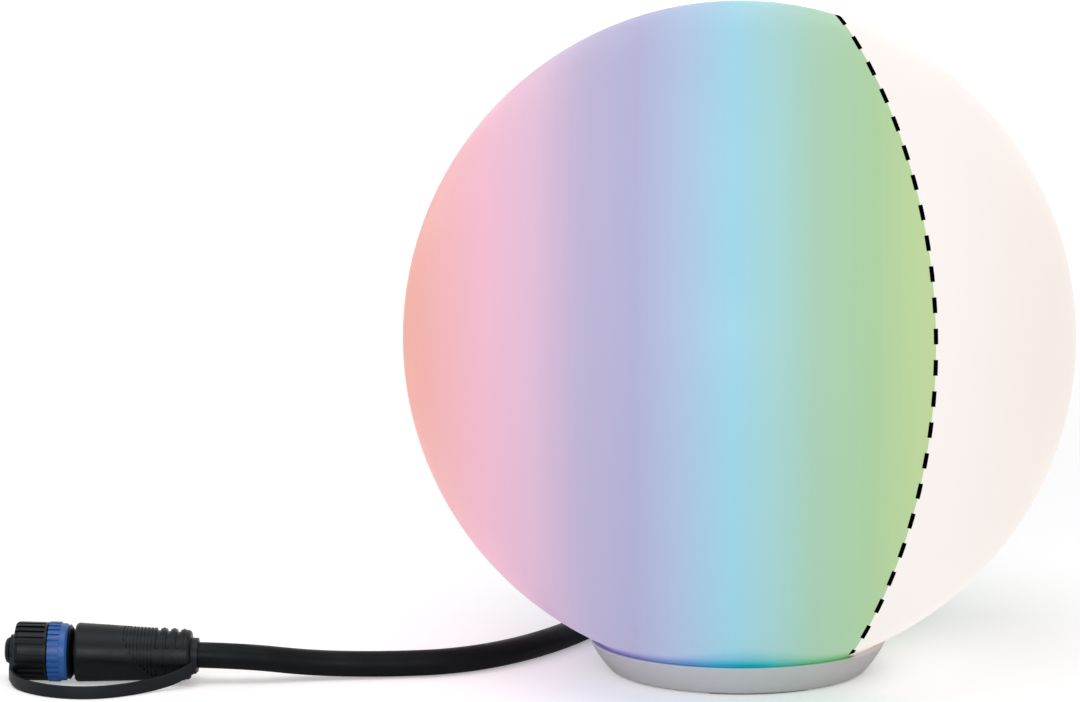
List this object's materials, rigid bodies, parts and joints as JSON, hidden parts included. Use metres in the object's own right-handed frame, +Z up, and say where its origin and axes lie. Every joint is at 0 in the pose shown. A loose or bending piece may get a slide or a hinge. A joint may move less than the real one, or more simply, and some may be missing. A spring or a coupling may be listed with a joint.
{
  "type": "garden globe light",
  "caption": "Opal globe light on a shallow grey cup base, with an inner LED module, a short black cable and a plug closed by a tethered screw cap.",
  "frame": {"origin": "on the ground, in the middle of the underside, on the globe's axis", "axes": "+Z up along the globe's axis, -Y towards the viewer of the picture, the plug lies towards -X"},
  "size_m": [0.3174, 0.2271, 0.2006],
  "materials": {
    "opal_globe": "opal white, satin, lit from inside",
    "clear_silicone": "translucent silicone",
    "grey_casting": "light grey satin coat",
    "black_rubber": "matt black rubber",
    "cable_rubber": "black rubber sheath",
    "core_insulation": "core insulation",
    "black_plastic": "black, fine texture",
    "screw_steel": "stainless steel",
    "white_plastic": "white moulded",
    "circuit_board": "green solder mask",
    "ferrite": "ferrite core",
    "capacitor_can": "sleeved can",
    "radio_can": "tinned shield",
    "terminal_plastic": "green terminal",
    "bare_aluminium": "turned aluminium",
    "white_board": "white solder mask",
    "led_resin": "phosphor and clear resin",
    "frosted_dome": "frosted",
    "carrier_plastic": "black insulator",
    "pin_metal": "plated contact",
    "blue_plastic": "blue, satin gloss"
  },
  "bodies": {
    "lamp": {"globe_seal": "clear_silicone", "base_cup": "grey_casting", "foot_pads": "black_rubber", "cable_boot": "black_rubber", "cable_tail": "cable_rubber", "core_leads": "core_insulation", "cord_clamp": "black_plastic", "clamp_screws": "screw_steel", "module_housing": "white_plastic", "housing_screws": "screw_steel", "controller_board": "circuit_board", "board_screws": "screw_steel", "power_inductor": "ferrite", "filter_capacitors": "capacitor_can", "radio_module": "radio_can", "terminal_block": "terminal_plastic", "heat_spreader": "bare_aluminium", "led_board": "white_board", "led_chips": "led_resin", "led_board_screws": "screw_steel", "led_leads": "core_insulation", "lens_seal": "clear_silicone", "dome_lens": "frosted_dome", "supply_cable": "cable_rubber", "plug_body": "black_plastic", "plug_leads": "core_insulation", "contact_carrier": "carrier_plastic", "contact_pins": "pin_metal", "nose_seal": "black_rubber", "backing_collar": "black_plastic", "tether_collar": "black_rubber", "tether_strap": "black_rubber"},
    "globe": {"globe_shell": "opal_globe"},
    "lock_ring": {"lock_ring": "blue_plastic"},
    "cap_slider": {"tether_eyelet": "black_rubber"},
    "cap": {"screw_cap": "black_plastic", "cap_liner": "black_rubber"}
  },
  "joints": [
    {"name": "globe_twist", "type": "hinge", "parent": "lamp", "child": "globe", "pos_m": [0, 0, 0.0101], "axis": [0, 0, 1], "range_deg": [0, 35]},
    {"name": "lock_ring_turn", "type": "hinge", "parent": "lamp", "child": "lock_ring", "pos_m": [-0.1619, -0.0249, 0.00838], "axis": [-0.9997, 0.0227, 0.0133], "continuous": true},
    {"name": "cap_advance", "type": "slide", "parent": "lamp", "child": "cap_slider", "axis": [-0.9997, 0.0227, 0.0133], "range_m": [0, 0.006], "deforming": ["tether_strap"]},
    {"name": "cap_turn", "type": "hinge", "parent": "cap_slider", "child": "cap", "pos_m": [-0.1619, -0.0249, 0.00838], "axis": [-0.9997, 0.0227, 0.0133], "range_deg": [0, 1080]}
  ],
  "couplings": [
    {"joint": "cap_turn", "follows": "cap_advance", "rad_per_m": 3141.6}
  ]
}
